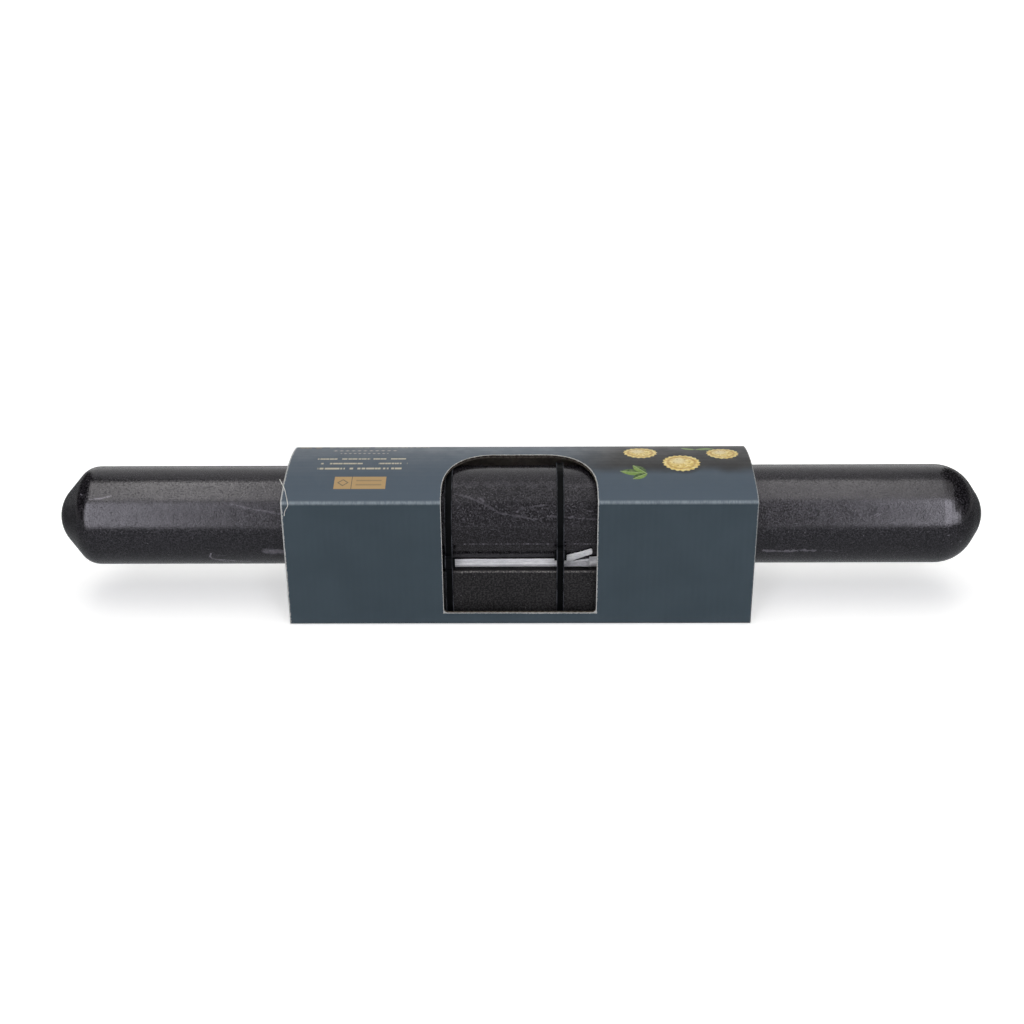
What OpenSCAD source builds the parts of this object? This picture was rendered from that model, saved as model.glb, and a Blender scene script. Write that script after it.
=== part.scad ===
// Solid marble rolling pin with domed ends, strapped to its marble rest with two cable ties,
// over a foam liner and inside a windowed sleeve of corrugated board.
// X runs along the pin, Y from front to rear and Z up, with the sleeve standing on Z = 0.

/* [Rolling pin] */
// Length over the domed ends
pin_length = 460; // [300:1:560]
// Diameter of the barrel
pin_diameter = 49.2; // [40:0.1:60]
// Radius of the nose at each end
nose_radius = 19.4; // [10:0.1:22]
// Angle of the left end's flank between nose and shoulder, from the end plane
left_flank_angle = 41; // [25:1:50]
// Angle of the right end's flank
right_flank_angle = 34; // [25:1:50]
// Radius of the left end's shoulder, between flank and barrel
left_shoulder_radius = 10.3; // [5:0.1:18]
// Radius of the right end's shoulder
right_shoulder_radius = 20.5; // [5:0.1:21]

/* [Rest] */
// Length of the rest along the pin
rest_length = 150; // [100:1:200]
// Width of the flat land on each side of the channel, or more under a thick pin
land_width = 4.8; // [3:0.1:12]
// Depth of the channel below the lands
channel_depth = 10.7; // [6:0.1:14]
// Marble left under the channel
rest_floor = 14.7; // [8:0.1:20]
// Chamfer along the rest's edges
rest_chamfer = 0.8; // [0.3:0.1:2]

/* [Foam liner] */
// Thickness of the foam under the pin
foam_thickness = 3.5; // [1.5:0.1:5]
// Angle below the pin's centre line where the foam ends
foam_edge_angle = 34.2; // [25:0.1:50]
// Distance from each end of the rest to the foam
foam_setback = 2; // [0:0.5:20]
// Thickness of the slice that has peeled off beside the right tie
slice_thickness = 1.7; // [0.8:0.1:2.5]
// Length of the peeled slice
slice_length = 14; // [8:0.5:17]
// Height that the slice's end has climbed round the pin
slice_climb = 4.6; // [2:0.1:8]

/* [Cable ties] */
// Width of the strap
tie_width = 3.6; // [2.5:0.1:4.8]
// Thickness of the strap
tie_thickness = 1; // [0.8:0.1:1.4]
// Depth of the channel between the strap's two rails
tie_channel = 0.25; // [0.1:0.05:0.4]
// Place of the left tie along the pin
left_tie_x = -34.7; // [-60:0.1:-20]
// Place of the right tie along the pin
right_tie_x = 20; // [10:0.1:60]
// Length of the head along the strap
head_length = 5; // [4:0.1:7]
// Width of the head
head_width = 6; // [5:0.1:7]
// Wall of the head over its slot
head_cap = 0.5; // [0.4:0.1:1]
// Distance from the rest's edge up the left strap to its head
left_head_rise = 5.8; // [4:0.1:12]
// Distance from the rest's edge up the right strap to its head
right_head_rise = 10; // [4:0.1:12]
// Length of the cut tail that stands out of the head
tail_length = 1.8; // [0.5:0.1:6]

/* [Sleeve] */
// Length of the sleeve along the pin
sleeve_length = 229; // [180:1:290]
// Room between the sleeve and what it holds, at front and rear
side_room = 0.3; // [0.3:0.1:8]
// Rise of the bowed top over its creases
top_bow = 5; // [2:0.1:8]
// Thickness of the corrugated board
board_thickness = 1.6; // [1.4:0.1:2]
// Thickness of each liner
liner_thickness = 0.25; // [0.2:0.01:0.4]
// Length of one wave of the fluting
flute_pitch = 3.2; // [2.4:0.1:6]
// Thickness of the fluted paper
flute_paper = 0.18; // [0.12:0.01:0.25]
// Outside radius of the creases
crease_radius = 2; // [1.8:0.1:4]
// Width of the glue flap inside the rear panel
flap_width = 22; // [12:1:30]

/* [Window] */
// Width of the window along the pin
window_width = 75.3; // [66:0.1:100]
// Height of the window's lower edge over the ground
window_sill = 7; // [4:0.1:20]
// Reach of the window past the middle of the top panel
window_reach = 12.4; // [-5:0.1:22]
// Radius of the window's lower corners
sill_radius = 2; // [1:0.1:6]
// Width of each large corner on the top panel
corner_width = 25; // [5:0.5:30]
// Depth of each large corner on the top panel
corner_depth = 34.5; // [5:0.5:40]

/* [Hidden] */
$fn = 96;

// Gap between the pin and what holds it, and between the ties and the sleeve's top
pin_gap = 0.3;
sleeve_gap = 0.3;
// Floor and end wall of the slot in a tie's head, the slot's play and the head's chamfer
slot_floor = 0.1;
slot_end = 0.9;
slot_gap = 0.3;
head_chamfer = 0.4;
// Film of glue between the fluting and each liner
glue_film = 0.03;
// Least distance that the rest stands out past the pin at front and rear, so that the straps lean in
strap_lean = 0.5;
// Lap of the flutes into the crushed creases
flute_lap = 0.1;
// Share of a wave that one flank of the fluting runs along, a little more than it rises
flank_share = 0.29;
// Width of the peeled slice at its end
slice_width = 2.6;
// Distance that the glue flap's free corners are drawn in
flap_taper = 4;
// Share of the strap's width in each of its two rails
rail_share = 0.2;
// Radius of a crease's inner side where the board is as thick as the crease is round
least_radius = 0.01;
// Steps in a drawn arc, in a small corner, in the strap round the pin and in the bowed top
arc_steps = 12;
corner_steps = 4;
strap_steps = 24;
bow_steps = 16;
// Reach of a cutting tool past the face it cuts
cut = 5;
// Distance from each end of the sleeve to the glue flap
flap_setback = 3;

pin_r = pin_diameter / 2;
seat_r = pin_r + pin_gap;
channel_r = seat_r + foam_thickness;
rest_bottom = board_thickness + tie_thickness;
rest_height = rest_floor + channel_depth;
land_z = rest_bottom + rest_height;
axis_z = rest_bottom + rest_floor + channel_r;
channel_y = sqrt(pow(channel_r, 2) - pow(axis_z - land_z, 2));
rest_depth = 2 * max(channel_y + land_width, seat_r + strap_lean);

// The strap runs round circles at the pin and at the rest's corners
corner_y = rest_depth / 2 - rest_chamfer;
corner_top = land_z - rest_chamfer;
corner_bottom = rest_bottom + rest_chamfer;
corner_drop = axis_z - corner_top;
strap_turn = acos((seat_r - rest_chamfer) / norm([corner_y, corner_drop]))
    - atan2(corner_drop, corner_y);
strap_out = [-cos(strap_turn), sin(strap_turn)];
strap_up = [sin(strap_turn), cos(strap_turn)];

head_height = 2 * tie_thickness + slot_floor + slot_gap + head_cap;

// Places of a head on the strap's straight run, and how far forward a head reaches
function head_foot(rise) = [-corner_y, corner_top] + rest_chamfer * strap_out + rise * strap_up;
function head_front(rise) =
    -(head_foot(rise) + head_height * strap_out - head_length / 2 * strap_up)[0];
head_reach = max(head_front(left_head_rise), head_front(right_head_rise));

// The glue flap lies between the rear panel and the ties
contents_y = max(rest_depth / 2 + tie_thickness + board_thickness, head_reach, seat_r + tie_thickness);
half_depth = contents_y + side_room + board_thickness;
crown_z = axis_z + seat_r + tie_thickness + sleeve_gap + board_thickness;
bow_r = (half_depth * half_depth + top_bow * top_bow) / (2 * top_bow);
bow_z = crown_z - bow_r;
// The upper crease is tangent to the side and to the bowed top
crease_y = half_depth - crease_radius;
crease_z = bow_z + sqrt(pow(bow_r - crease_radius, 2) - crease_y * crease_y);
crease_turn = atan2(crease_z - bow_z, crease_y);

// The sleeve's length holds a whole number of waves
wave_count = round(sleeve_length / flute_pitch);
wave = sleeve_length / wave_count;
flank_run = flank_share * wave;
flute_top = liner_thickness + glue_film;
flute_bottom = board_thickness - liner_thickness - glue_film;
flank_slope = atan2(flute_bottom - flute_top - flute_paper, flank_run);

function arc(centre, r, from, to, steps = arc_steps) =
    [for (i = [0:steps]) let (a = from + (to - from) * i / steps) centre + r * [cos(a), sin(a)]];

// Turns a drawing in the Y and Z plane into a solid along X
module along_x(length) {
    rotate([90, 0, 90]) linear_extrude(length, center = true) children();
}

// Outline of one end from the tip to the barrel, with the radius along X and the axis along Y
function dome(flank_angle, shoulder_radius) =
    let (
        flank = [sin(flank_angle), cos(flank_angle)],
        nose = nose_radius * [flank[0], 1 - flank[1]],
        shoulder_x = pin_r - shoulder_radius * (1 - flank[0]),
        rise = nose[1] + (shoulder_x - nose[0]) * tan(flank_angle),
        centre = [pin_r - shoulder_radius, rise + shoulder_radius * flank[1]]
    )
    concat(
        arc([0, nose_radius], nose_radius, -90, flank_angle - 90),
        arc(centre, shoulder_radius, flank_angle - 90, 0)
    );

module rolling_pin() {
    half = pin_length / 2;
    left = [for (p = dome(left_flank_angle, left_shoulder_radius)) [p[0], p[1] - half]];
    right = [for (p = dome(right_flank_angle, right_shoulder_radius)) [p[0], half - p[1]]];
    color("#2d2b2f") translate([0, 0, axis_z]) rotate([0, 90, 0])
        rotate_extrude() polygon(concat(left, [for (i = [len(right) - 1:-1:0]) right[i]]));
}

module chamfered_rectangle(width, height, chamfer) {
    x = width / 2;
    y = height / 2;
    c = chamfer;
    polygon([
        [c - x, -y], [x - c, -y], [x, c - y], [x, y - c],
        [x - c, y], [c - x, y], [-x, y - c], [-x, c - y]
    ]);
}

module rest() {
    color("#333134") difference() {
        intersection() {
            along_x(rest_length) translate([0, rest_bottom + rest_height / 2])
                chamfered_rectangle(rest_depth, rest_height, rest_chamfer);
            translate([0, 0, rest_bottom]) linear_extrude(rest_height)
                chamfered_rectangle(rest_length, rest_depth, rest_chamfer);
        }
        translate([0, 0, axis_z]) rotate([0, 90, 0])
            cylinder(h = rest_length + 2 * cut, r = channel_r, center = true);
    }
}

// A tube round the pin's axis over the foam's length, from one radius to another
module round_pin(inner, outer, from, to) {
    along_x_between(from, to) translate([0, axis_z]) difference() {
        circle(outer);
        circle(inner);
    }
}

module along_x_between(from, to) {
    translate([(from + to) / 2, 0, 0]) along_x(to - from) children();
}

// The slice beside the right tie, seen from the front: it climbs from the foam's edge to a square end
module slice_outline() {
    root = right_tie_x + tie_width / 2;
    end = root + slice_length;
    edge_z = axis_z - seat_r * sin(foam_edge_angle);
    polygon([
        [root, edge_z - slice_width], [root, edge_z + slice_climb / 4],
        [end - slice_width / 4, edge_z + slice_climb + slice_width], [end, edge_z + slice_climb],
        [end - slice_width, edge_z + slice_climb / 2], [root + slice_width, edge_z - slice_width]
    ]);
}

module foam_liner() {
    reach = 2 * channel_r;
    edge = reach * [cos(foam_edge_angle), -sin(foam_edge_angle)];
    split_r = seat_r + slice_thickness;
    slit = [right_tie_x + tie_width / 2 + slice_length / 4, right_tie_x + slice_length];
    half_length = rest_length / 2 - foam_setback;
    color("#dcdde0") {
        difference() {
            along_x(2 * half_length) translate([0, axis_z]) intersection() {
                difference() {
                    circle(channel_r);
                    circle(seat_r);
                }
                polygon([[0, 0], edge, [edge[0], -reach], [-edge[0], -reach], [-edge[0], edge[1]]]);
            }
            translate([slit[0], -split_r, axis_z - split_r])
                cube([slit[1] - slit[0], split_r, split_r]);
        }
        intersection() {
            round_pin(seat_r, split_r, 0, half_length);
            translate([0, -reach / 2, 0]) rotate([-90, 0, 0]) linear_extrude(reach / 2) mirror([0, 1, 0])
                slice_outline();
        }
    }
}

// Outline of the strap's loop, set out by its distance from what it holds
function loop(out) =
    let (r = rest_chamfer + out)
    concat(
        arc([0, axis_z], seat_r + out, strap_turn, 180 - strap_turn, strap_steps),
        arc([-corner_y, corner_top], r, 180 - strap_turn, 180, corner_steps / 2),
        arc([-corner_y, corner_bottom], r, 180, 270, corner_steps),
        arc([corner_y, corner_bottom], r, 270, 360, corner_steps),
        arc([corner_y, corner_top], r, 0, strap_turn, corner_steps / 2)
    );

module strap(width, thickness) {
    along_x(width) difference() {
        polygon(loop(thickness));
        polygon(loop(0));
    }
}

// The head lies on the strap's straight run in front, with X out from the strap and Y down it
module at_head(rise) {
    translate(head_foot(rise)) rotate(180 - strap_turn) children();
}

// It grows out of the middle of the strap's thickness
module tie_head(rise) {
    half = head_length / 2;
    root = tie_thickness / 2;
    slot = [tie_thickness + slot_floor, -half];
    difference() {
        along_x(head_width) at_head(rise) translate([(root + head_height) / 2, 0])
            chamfered_rectangle(head_height - root, head_length, head_chamfer);
        along_x(tie_width + 2 * slot_gap) at_head(rise) translate(slot - [0, cut])
            square([tie_thickness + slot_gap, cut + head_length - slot_end]);
    }
    along_x(tie_width) at_head(rise) translate(slot + [slot_gap / 2, -tail_length])
        square([tie_thickness, tail_length + head_length - slot_end]);
}

module cable_tie(x, rise) {
    rail = rail_share * tie_width;
    color("#0f1112") translate([x, 0, 0]) {
        strap(tie_width, tie_thickness - tie_channel);
        for (side = [-1, 1]) translate([side * (tie_width - rail) / 2, 0, 0])
            strap(rail, tie_thickness);
        tie_head(rise);
    }
}

module left_tie() {
    cable_tie(left_tie_x, left_head_rise);
}

module right_tie() {
    cable_tie(right_tie_x, right_head_rise);
}

// Outline of the sleeve at a depth below its printed face
function tube(depth) =
    let (r = max(crease_radius - depth, least_radius), side = crease_y, foot = crease_radius)
    concat(
        arc([side, foot], r, -90, 0, corner_steps),
        arc([side, crease_z], r, 0, crease_turn, corner_steps),
        arc([0, bow_z], bow_r - depth, crease_turn, 180 - crease_turn, bow_steps),
        arc([-side, crease_z], r, 180 - crease_turn, 180, corner_steps),
        arc([-side, foot], r, 180, 270, corner_steps)
    );

module layer(from, to) {
    along_x(sleeve_length) difference() {
        polygon(tube(from));
        polygon(tube(to));
    }
}

// The window's large corners stay on the top panel
module window() {
    half = window_width / 2;
    front = -half_depth - cut;
    depth = min(corner_depth, window_reach + crease_y);
    far_corner = [for (i = [0:arc_steps]) let (a = 90 * i / arc_steps)
        [half - corner_width * (1 - cos(a)), window_reach - depth * (1 - sin(a))]];
    near_corner = [for (i = [arc_steps:-1:0]) [-far_corner[i][0], far_corner[i][1]]];
    below_top = crease_z - crease_radius;
    translate([0, 0, below_top]) linear_extrude(crown_z + cut - below_top)
        polygon(concat([[-half, front], [half, front]], far_corner, near_corner));
    translate([0, front, 0]) rotate([-90, 0, 0])
        linear_extrude(cut + board_thickness + crease_radius)
            polygon([for (p = concat(
                arc([sill_radius - half, window_sill + sill_radius], sill_radius, 180, 270, corner_steps),
                arc([half - sill_radius, window_sill + sill_radius], sill_radius, 270, 360, corner_steps),
                [[half, crease_z], [-half, crease_z]]
            )) [p[0], -p[1]]]);
}

module sleeve_outer_liner() {
    color("#3e4b54") difference() {
        layer(0, liner_thickness);
        window();
    }
}

// One side of the fluted paper, from the left end to the right, with its depth below the printed
// face; side is -1 towards the printed face and 1 towards the inside
function flute_side(side) =
    let (
        half_flat = wave / 4 - flank_run / 2,
        widening = flute_paper / 2 * tan(flank_slope / 2),
        crest = flute_top + (1 + side) / 2 * flute_paper,
        trough = flute_bottom - (1 - side) / 2 * flute_paper,
        crest_half = half_flat - side * widening,
        trough_half = half_flat + side * widening
    )
    concat(
        [[-sleeve_length / 2, crest]],
        [for (i = [0:wave_count - 1]) let (x = i * wave - sleeve_length / 2) each [
            [x + crest_half, crest], [x + wave / 2 - trough_half, trough],
            [x + wave / 2 + trough_half, trough], [x + wave - crest_half, crest]
        ]],
        [[sleeve_length / 2, crest]]
    );

flute_section = let (inside = flute_side(1))
    concat(flute_side(-1), [for (i = [len(inside) - 1:-1:0]) inside[i]]);

// The flutes of a flat panel whose printed face is the plane Y = 0; they run along Z, and at both
// ends a little way into the crushed creases
module flutes(height) {
    translate([0, 0, -flute_lap]) linear_extrude(height + 2 * flute_lap) polygon(flute_section);
}

// The board is crushed where it is creased, so that the fluted paper lies flat there
module crushed_crease(centre, from, to) {
    outer = crease_radius - liner_thickness;
    inner = crease_radius - board_thickness + liner_thickness;
    along_x(sleeve_length)
        polygon(concat(
            arc(centre, outer, from, to, corner_steps), arc(centre, inner, to, from, corner_steps)
        ));
}

module sleeve_fluting() {
    panel = crease_z - crease_radius;
    half_turn = 90 - crease_turn + flute_lap / bow_r * 180 / PI;
    color("#a89f90") difference() {
        union() {
            for (side = [0, 1]) mirror([0, side, 0]) {
                translate([0, -half_depth, crease_radius]) flutes(panel);
                crushed_crease([crease_y, crease_radius], -90, 0);
                crushed_crease([crease_y, crease_z], 0, crease_turn);
            }
            translate([0, crease_y, 0]) rotate([90, 0, 0]) flutes(2 * crease_y);
            translate([0, 0, bow_z]) rotate([0, 90, 0]) rotate([0, 0, 180 - half_turn])
                rotate_extrude(angle = 2 * half_turn)
                    polygon([for (p = flute_section) [bow_r - p[1], p[0]]]);
        }
        window();
    }
}

module sleeve_inner_liner() {
    half = sleeve_length / 2 - flap_setback;
    color("#b9b2a4") {
        difference() {
            layer(board_thickness - liner_thickness, board_thickness);
            window();
        }
        translate([0, half_depth - board_thickness, board_thickness]) rotate([90, 0, 0])
            linear_extrude(board_thickness)
                polygon([
                    [-half, 0], [half, 0],
                    [half - flap_taper, flap_width], [flap_taper - half, flap_width]
                ]);
    }
}

rolling_pin();
rest();
foam_liner();
left_tie();
right_tie();
sleeve_outer_liner();
sleeve_fluting();
sleeve_inner_liner();
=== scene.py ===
"""Looks of a solid marble rolling pin, strapped to its rest and packed in a windowed board sleeve."""
import math

import bmesh
import bpy
from mathutils import Matrix, Vector, noise


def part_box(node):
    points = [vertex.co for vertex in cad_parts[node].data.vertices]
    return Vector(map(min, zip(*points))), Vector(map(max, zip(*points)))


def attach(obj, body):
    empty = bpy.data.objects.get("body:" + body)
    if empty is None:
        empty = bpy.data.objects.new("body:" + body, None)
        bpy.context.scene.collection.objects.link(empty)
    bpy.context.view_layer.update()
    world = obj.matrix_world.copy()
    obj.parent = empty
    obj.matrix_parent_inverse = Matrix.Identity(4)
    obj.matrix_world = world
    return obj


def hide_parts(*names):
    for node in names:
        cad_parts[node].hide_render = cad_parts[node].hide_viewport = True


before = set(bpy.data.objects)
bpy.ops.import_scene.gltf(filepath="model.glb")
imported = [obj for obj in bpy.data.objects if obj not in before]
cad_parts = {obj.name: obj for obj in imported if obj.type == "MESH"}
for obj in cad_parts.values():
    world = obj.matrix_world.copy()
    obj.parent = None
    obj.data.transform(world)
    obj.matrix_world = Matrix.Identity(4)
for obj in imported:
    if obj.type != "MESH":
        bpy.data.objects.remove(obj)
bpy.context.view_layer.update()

MM = 0.001


def mm_box(node):
    """Lowest and highest corner of a CAD node, in millimetres."""
    low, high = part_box(node)
    return low / MM, high / MM


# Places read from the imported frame, in millimetres
PIN_LOW, PIN_HIGH = mm_box("rolling_pin")
PIN_R = (PIN_HIGH.z - PIN_LOW.z) / 2
AXIS_Z = (PIN_HIGH.z + PIN_LOW.z) / 2
REST_HIGH = mm_box("rest")[1]
SLEEVE_HIGH = mm_box("sleeve_outer_liner")[1]
HALF_DEPTH = SLEEVE_HIGH.y
HALF_LENGTH = SLEEVE_HIGH.x
FOAM_LOW, FOAM_HIGH = mm_box("foam_liner")
TIE_BOXES = mm_box("left_tie"), mm_box("right_tie")

# Sizes of the part that its boxes don't give, and the radius of the sleeve's bowed top
TIE_WIDTH = 3.6
CREASE_Z = 68.5
FLUTE_PITCH = 3.2
BOW_RISE = SLEEVE_HIGH.z - CREASE_Z
BOW_R = (HALF_DEPTH ** 2 + BOW_RISE ** 2) / (2 * BOW_RISE)

# The window, as it was die-cut: half its width, its sill, and its large corners on the top
WINDOW_HALF, WINDOW_SILL, WINDOW_REACH = 37.65, 7.0, 12.4
CORNER_WIDTH, CORNER_DEPTH = 25.0, 34.5

# The foam's section: its edge in degrees below the pin's centre line, and its inner and outer radius
FOAM_EDGE = 34.2
FOAM_INNER = PIN_R + 0.3
FOAM_OUTER = FOAM_INNER + 3.5
SLICE_OUTER = FOAM_INNER + 1.7

# The camera, fitted to the outlines of the pin and of the sleeve: degrees, and millimetres
YAW, PITCH, ROLL = -0.763, 27.458, -0.489
AIM = Vector((-3.9, 0, 46.9))
DISTANCE = 803.6
LENS = 56.34


def srgb(red, green, blue):
    """A colour given as it looks on a screen, 0 to 255, in the linear values that a shader takes."""
    def linear(v):
        v /= 255
        return v / 12.92 if v <= 0.04045 else ((v + 0.055) / 1.055) ** 2.4
    return (linear(red), linear(green), linear(blue), 1)


def feed(tree, socket, value):
    """Links a value to a socket, or sets it. None leaves the socket as it is."""
    if isinstance(value, bpy.types.NodeSocket):
        tree.links.new(value, socket)
    elif value is not None:
        socket.default_value = value


def wire(tree, kind, *values, **settings):
    """A node with its settings, and with its inputs set or linked in order."""
    node = tree.nodes.new("ShaderNode" + kind)
    for name, value in settings.items():
        setattr(node, name, value)
    for socket, value in zip(node.inputs, values):
        feed(tree, socket, value)
    return node


def fade(tree, value, start, end, low, high):
    """Turns smoothly from low, where value is start, to high, where it is end."""
    values = value, start, end, low, high
    return wire(tree, "MapRange", *values, interpolation_type="SMOOTHSTEP").outputs[0]


class Graph:
    """The nodes of one material, with a short call for each kind that the materials share."""

    def __init__(self, name, roughness, specular=0.5):
        self.material = bpy.data.materials.new(name)
        self.material.use_nodes = True
        self.tree = self.material.node_tree
        self.shader = self.tree.nodes["Principled BSDF"]
        self.shader.inputs["Roughness"].default_value = roughness
        self.shader.inputs["Specular IOR Level"].default_value = specular
        place = self.add("TexCoord").outputs["Object"]
        self.place = self.vector("SCALE", place, scale=1 / MM)
        split = self.add("SeparateXYZ", self.place)
        self.x, self.y, self.z = split.outputs

    def feed(self, socket, value):
        feed(self.tree, socket, value)

    def add(self, kind, *values, **settings):
        return wire(self.tree, kind, *values, **settings)

    def math(self, operation, *values, clamp=False):
        return self.add("Math", *values, operation=operation, use_clamp=clamp).outputs[0]

    def vector(self, operation, *values, scale=None):
        node = self.add("VectorMath", *values, operation=operation)
        if scale is not None:
            self.feed(node.inputs["Scale"], scale)
        return node.outputs["Value" if operation in ("DOT_PRODUCT", "DISTANCE", "LENGTH") else "Vector"]

    def point(self, x, y, z=0.0):
        return self.add("CombineXYZ", x, y, z).outputs[0]

    def ramp(self, value, start, end, low=0.0, high=1.0):
        """Rises smoothly from low, where value is start, to high, where it is end."""
        return fade(self.tree, value, start, end, low, high)

    def noise(self, size, detail=3.0, roughness=0.5, where=None, stretch=None):
        """Noise from 0 to 1 whose features are about size millimetres across."""
        where = where or self.place
        if stretch:
            where = self.vector("MULTIPLY", where, stretch)
        node = self.add("TexNoise", where)
        for name, setting in (("Scale", 1 / size), ("Detail", detail), ("Roughness", roughness)):
            node.inputs[name].default_value = setting
        return node.outputs[0]

    def mix(self, factor, a, b):
        """The colour a, turning to b where the factor is 1."""
        node = self.add("Mix", data_type="RGBA")
        for socket, value in zip((node.inputs[0], node.inputs[6], node.inputs[7]), (factor, a, b)):
            self.feed(socket, value)
        return node.outputs[2]

    def most(self, *masks):
        """The strongest of several masks."""
        total = masks[0]
        for mask in masks[1:]:
            total = self.math("MAXIMUM", total, mask)
        return total

    def all_of(self, *masks):
        """Where all the masks hold at once."""
        total = masks[0]
        for mask in masks[1:]:
            total = self.math("MULTIPLY", total, mask)
        return total

    def offset(self, value, centre):
        return self.math("SUBTRACT", value, centre)

    def within(self, value, centre, half, soft=0.12):
        """A mask of the stretch within half of the centre."""
        return self.ramp(self.math("ABSOLUTE", self.offset(value, centre)), half + soft, half - soft)

    def near(self, where, path):
        """Distance from where to a line through the path's points, in the same units."""
        nearest = None
        for start, end in zip(path[:-1], path[1:]):
            run = Vector((end[0] - start[0], end[1] - start[1], 0))
            offset = self.vector("SUBTRACT", where, (start[0], start[1], 0))
            along = self.vector("DOT_PRODUCT", offset, tuple(run))
            share = self.math("DIVIDE", along, max(run.length_squared, 1e-6), clamp=True)
            foot = self.vector("SCALE", tuple(run), scale=share)
            gap = self.vector("DISTANCE", offset, foot)
            nearest = gap if nearest is None else self.math("MINIMUM", nearest, gap)
        return nearest

    def bump(self, height, depth, strength=1.0):
        """A bump whose full height is depth millimetres."""
        node = self.add("Bump")
        node.inputs["Strength"].default_value = strength
        node.inputs["Distance"].default_value = depth * MM
        self.feed(node.inputs["Height"], height)
        self.feed(self.shader.inputs["Normal"], node.outputs[0])

    def colour(self, value):
        self.feed(self.shader.inputs["Base Color"], value)

    def rough(self, value):
        self.feed(self.shader.inputs["Roughness"], value)


# Marks on the marble of the pin: points along it in millimetres and round it in degrees above
# the front, then the mark's half width, its strength and how far it wanders
PIN_MARKS = (
    (((-215.2, 53.9), (-214.4, 52.0)), 0.5, 0.9, 0.3),
    (((-210, 45.6), (-204, 47), (-199.8, 50)), 0.45, 0.8, 0.6),
    (((-140.8, 39.9), (-128, 33), (-117.2, 29.3), (-108, 27)), 0.5, 0.28, 1.6),
    (((-139, 36.5), (-124, 31)), 0.4, 0.16, 1.2),
    (((-152.3, -23.7), (-153.2, -30), (-152.1, -34.8), (-144.9, -44.7)), 0.6, 1.0, 0.4),
    (((-151, -26), (-146, -27.5)), 0.4, 0.22, 0.8),
    (((-149, -37), (-141, -41.5), (-134, -43.5)), 0.55, 0.85, 0.5),
    (((-125, -19.5), (-112, -21.5)), 2.6, 0.6, 1.0),
    (((118.9, -20.3), (128, -21.5), (137, -19.4), (145.4, -20.5)), 1.0, 0.6, 2.2),
    (((150, -20), (156, -22)), 0.8, 0.16, 1.5),
    (((174, 27.5), (172.2, 25.3)), 0.35, 0.55, 0.3),
    (((175, 26.6), (173.4, 24.2)), 0.3, 0.4, 0.3),
    (((208.5, 1.2), (209, 1.8)), 0.5, 0.8, 0.2),
    (((215.6, -11.3), (216, -10.8)), 0.5, 0.7, 0.2),
    (
        ((-31.5, 51.4), (-25, 47), (-19.2, 41.5), (-9.5, 28.7), (6.6, 21.7), (15.8, 25.1), (37.2, 21.5)),
        0.7, 0.24, 1.3
    ),
    (((-31, 44), (-28.5, 39), (-30, 35)), 0.6, 0.2, 1.4),
    (((-1, 31), (3, 35), (13, 38)), 0.6, 0.2, 1.6),
    (((-18.8, 45.5), (-17.6, 43)), 1.0, 0.42, 0.8),
    (((33, 31), (36, 30.6)), 0.4, 0.35, 0.4),
    (((-60, 60), (-20, 64), (60, 61)), 2.0, 0.10, 6),
    (((60, -60), (140, -64), (190, -75)), 1.4, 0.16, 6),
    (((-200, -80), (-120, -95), (-20, -92)), 1.0, 0.2, 6),
    (((-190, 120), (-100, 135), (-10, 126)), 1.0, 0.2, 6),
    (((20, 140), (110, 128), (200, 150)), 1.2, 0.2, 6),
    (((90, 200), (150, 185), (215, 190)), 1.0, 0.2, 6),
)
MARK_STRENGTH = 0.6
# A straight polishing scratch, broken into dashes, seen in the window
PIN_SCRATCH = ((-27.2, -8.9), (38.4, -9.2))


def marble(name, dark, light, mark, polished, dull, pitted, specular):
    """Honed black marble: fine grain, faint clouds, pale crystals, and a polish that leaves dull grains."""
    g = Graph(name, (polished + dull) / 2, specular)
    g.shader.inputs["Specular Tint"].default_value = (0.95, 0.93, 1.0, 1)
    clouds = g.noise(34, 4, 0.55, stretch=(0.45, 1, 1))
    patches = g.noise(5, 4, 0.65)
    grain = g.noise(0.9, 2, 0.7)
    fine = g.noise(0.4, 1, 0.5)
    tone = g.math("ADD", g.math("MULTIPLY", clouds, 0.4), g.math("MULTIPLY", patches, 0.4))
    coarse = g.ramp(g.noise(14, 2), 0.35, 0.65, 2.9, 5.0)
    tone = g.math("ADD", tone, g.math("MULTIPLY", g.offset(grain, 0.5), coarse))
    base = g.mix(g.ramp(tone, 0.15, 0.8), dark, light)
    crystals = g.all_of(g.ramp(g.noise(0.8, 0, 0.5), 0.74, 0.84), g.ramp(g.noise(9, 2), 0.5, 0.66))
    base = g.mix(g.math("MULTIPLY", crystals, 0.4), base, mark)
    wear = g.math("ADD", g.math("MULTIPLY", g.noise(7, 4, 0.65), 0.4), g.math("MULTIPLY", fine, 0.25))
    wear = g.math("ADD", wear, g.math("MULTIPLY", grain, 0.35))
    pits = g.ramp(g.noise(0.75, 2, 0.65), 0.54, 0.64, 0.0, pitted)
    g.rough(g.math("ADD", g.ramp(wear, 0.38, 0.62, polished, dull), pits))
    return g, base, grain, fine


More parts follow.
